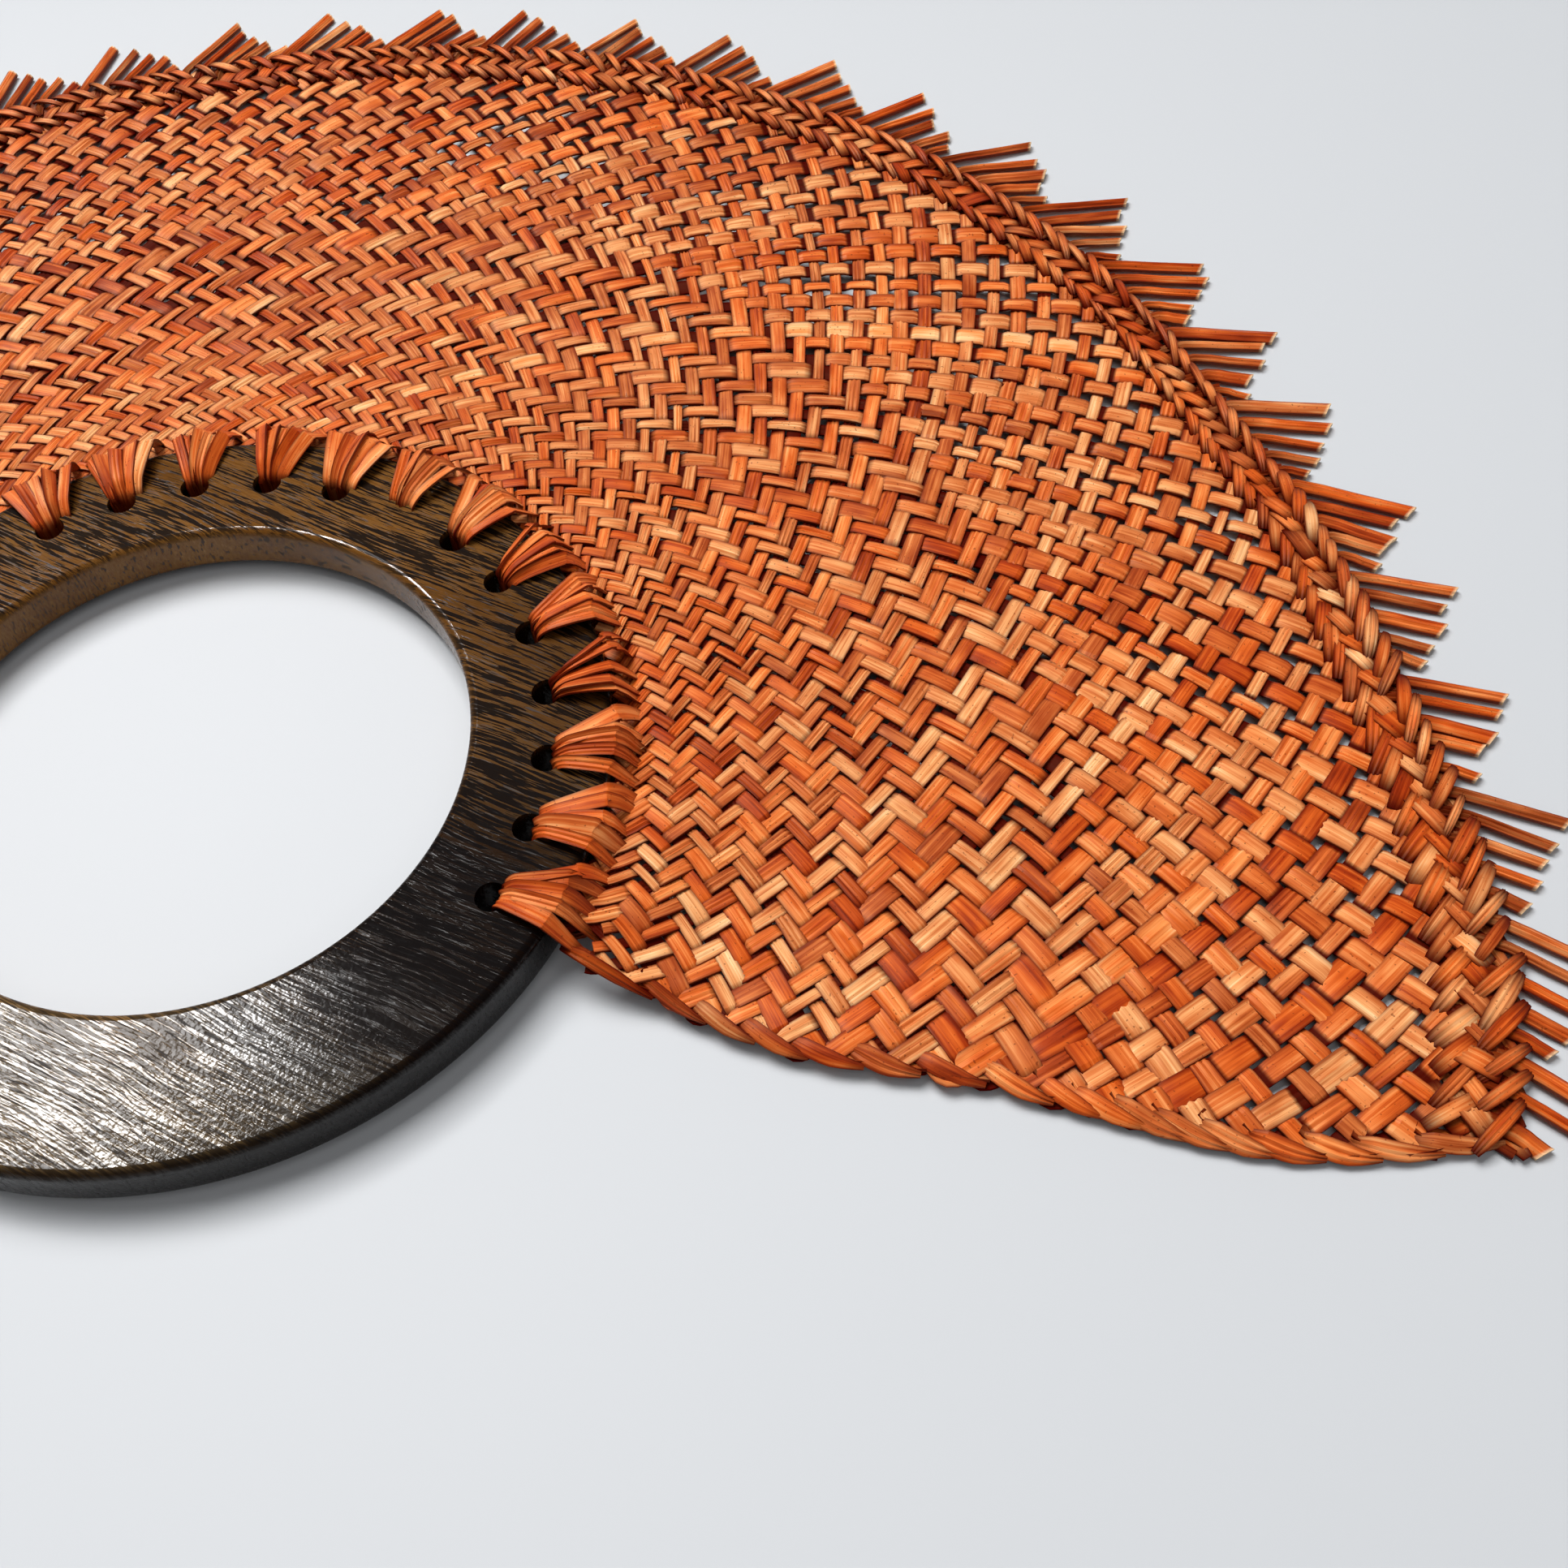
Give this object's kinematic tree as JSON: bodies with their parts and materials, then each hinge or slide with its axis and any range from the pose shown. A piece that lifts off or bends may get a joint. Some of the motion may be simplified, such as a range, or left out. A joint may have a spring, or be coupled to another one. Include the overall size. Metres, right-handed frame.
{
  "type": "hand fan",
  "caption": "Half-round palm leaf hand fan: dyed strips laced to a drilled dark wooden ring handle, woven in herringbone, locked by a braided rim and cut to a saw-toothed fringe.",
  "frame": {"origin": "under the middle of the fan's box, on the surface it lies on", "axes": "+Y from the ring handle along the fan's middle line to the rim, +X to the right seen from the front, +Z out of the front face"},
  "size_m": [0.3562, 0.225, 0.0091],
  "materials": {
    "ring_wood": "dark open-pored hardwood under clear semi-gloss lacquer",
    "palm_leaf": "dyed dry palm leaf strips, satin, with fine lengthwise grain"
  },
  "bodies": {
    "root": {"ring_handle": "ring_wood", "lacing_bundle_01": "palm_leaf", "lacing_bundle_02": "palm_leaf", "lacing_bundle_03": "palm_leaf", "lacing_bundle_04": "palm_leaf", "lacing_bundle_05": "palm_leaf", "lacing_bundle_06": "palm_leaf", "lacing_bundle_07": "palm_leaf", "lacing_bundle_08": "palm_leaf", "lacing_bundle_09": "palm_leaf", "lacing_bundle_10": "palm_leaf", "lacing_bundle_11": "palm_leaf", "lacing_bundle_12": "palm_leaf", "lacing_bundle_13": "palm_leaf", "lacing_bundle_14": "palm_leaf", "lacing_bundle_15": "palm_leaf", "lacing_bundle_16": "palm_leaf", "lacing_bundle_17": "palm_leaf", "woven_blade": "palm_leaf", "rim_braid": "palm_leaf", "selvedge_braid_left": "palm_leaf", "selvedge_braid_right": "palm_leaf", "fringe_far_left": "palm_leaf", "fringe_left": "palm_leaf", "fringe_right": "palm_leaf", "fringe_far_right": "palm_leaf"}
  },
  "joints": []
}
